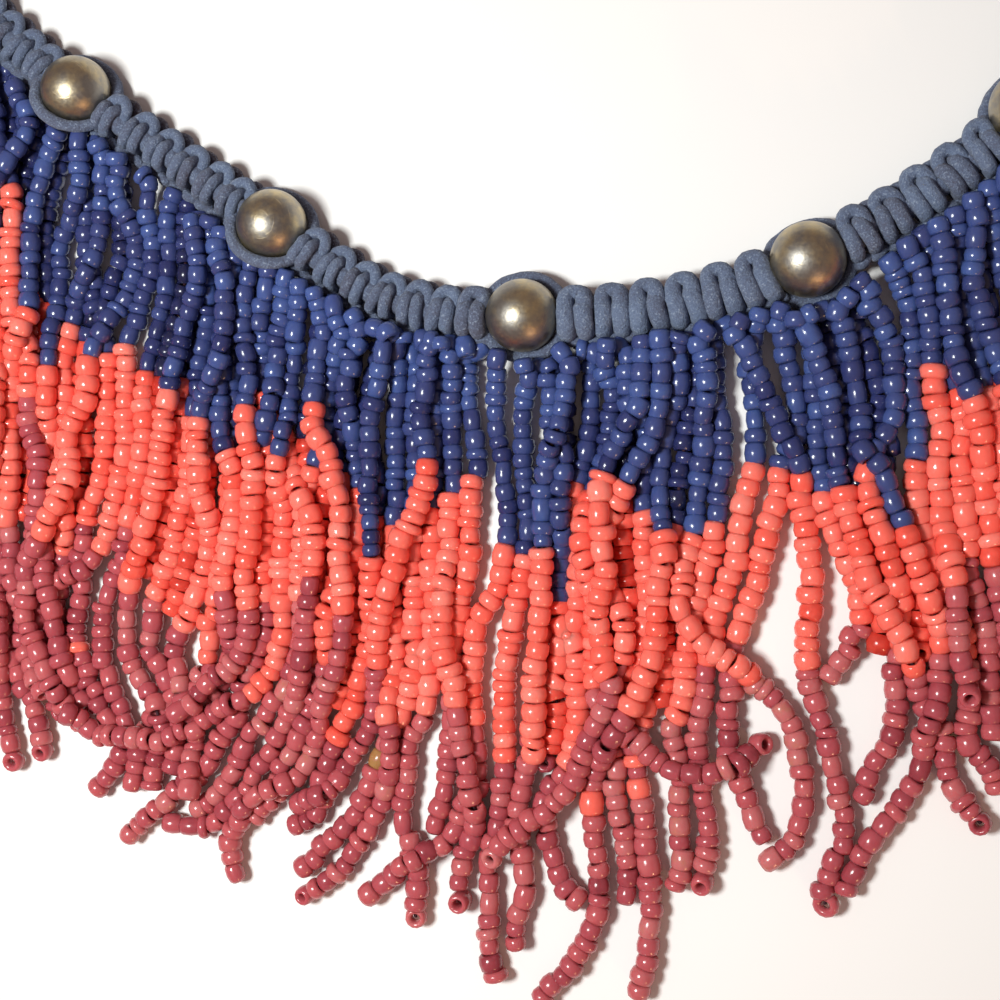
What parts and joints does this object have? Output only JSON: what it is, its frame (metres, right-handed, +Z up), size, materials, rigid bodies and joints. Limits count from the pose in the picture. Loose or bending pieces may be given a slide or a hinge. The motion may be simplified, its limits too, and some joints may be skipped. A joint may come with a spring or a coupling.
{
  "type": "beaded bib necklace",
  "caption": "Knotted cord neck loop with round brass beads and a dense fringe of seed bead strands in navy, coral and brick red, laid flat in a closed loop.",
  "frame": {"origin": "on the surface that the necklace lies on, under the middle of its bounding box", "axes": "+Z up from the surface, -Y towards the wearer's chest and the fringe's front, +X to the right in the picture"},
  "size_m": [0.2327, 0.2136, 0.008],
  "materials": {
    "waxed_cotton": "matte waxed cotton cord, knotted",
    "coral_glass": "glossy opaque coral seed beads",
    "navy_glass": "glossy opaque navy seed beads",
    "brick_glass": "glossy opaque brick red seed beads",
    "brass": "dark tarnished brass, worn"
  },
  "bodies": {
    "root": {"macrame_band": "waxed_cotton", "fringe_left": "coral_glass", "fringe_right": "coral_glass", "clasp": "brass", "brass_bead_1": "brass", "brass_bead_2": "brass", "brass_bead_3": "brass", "brass_bead_4": "brass", "brass_bead_5": "brass", "brass_bead_6": "brass", "brass_bead_7": "brass", "brass_bead_8": "brass", "brass_bead_9": "brass"}
  },
  "joints": []
}
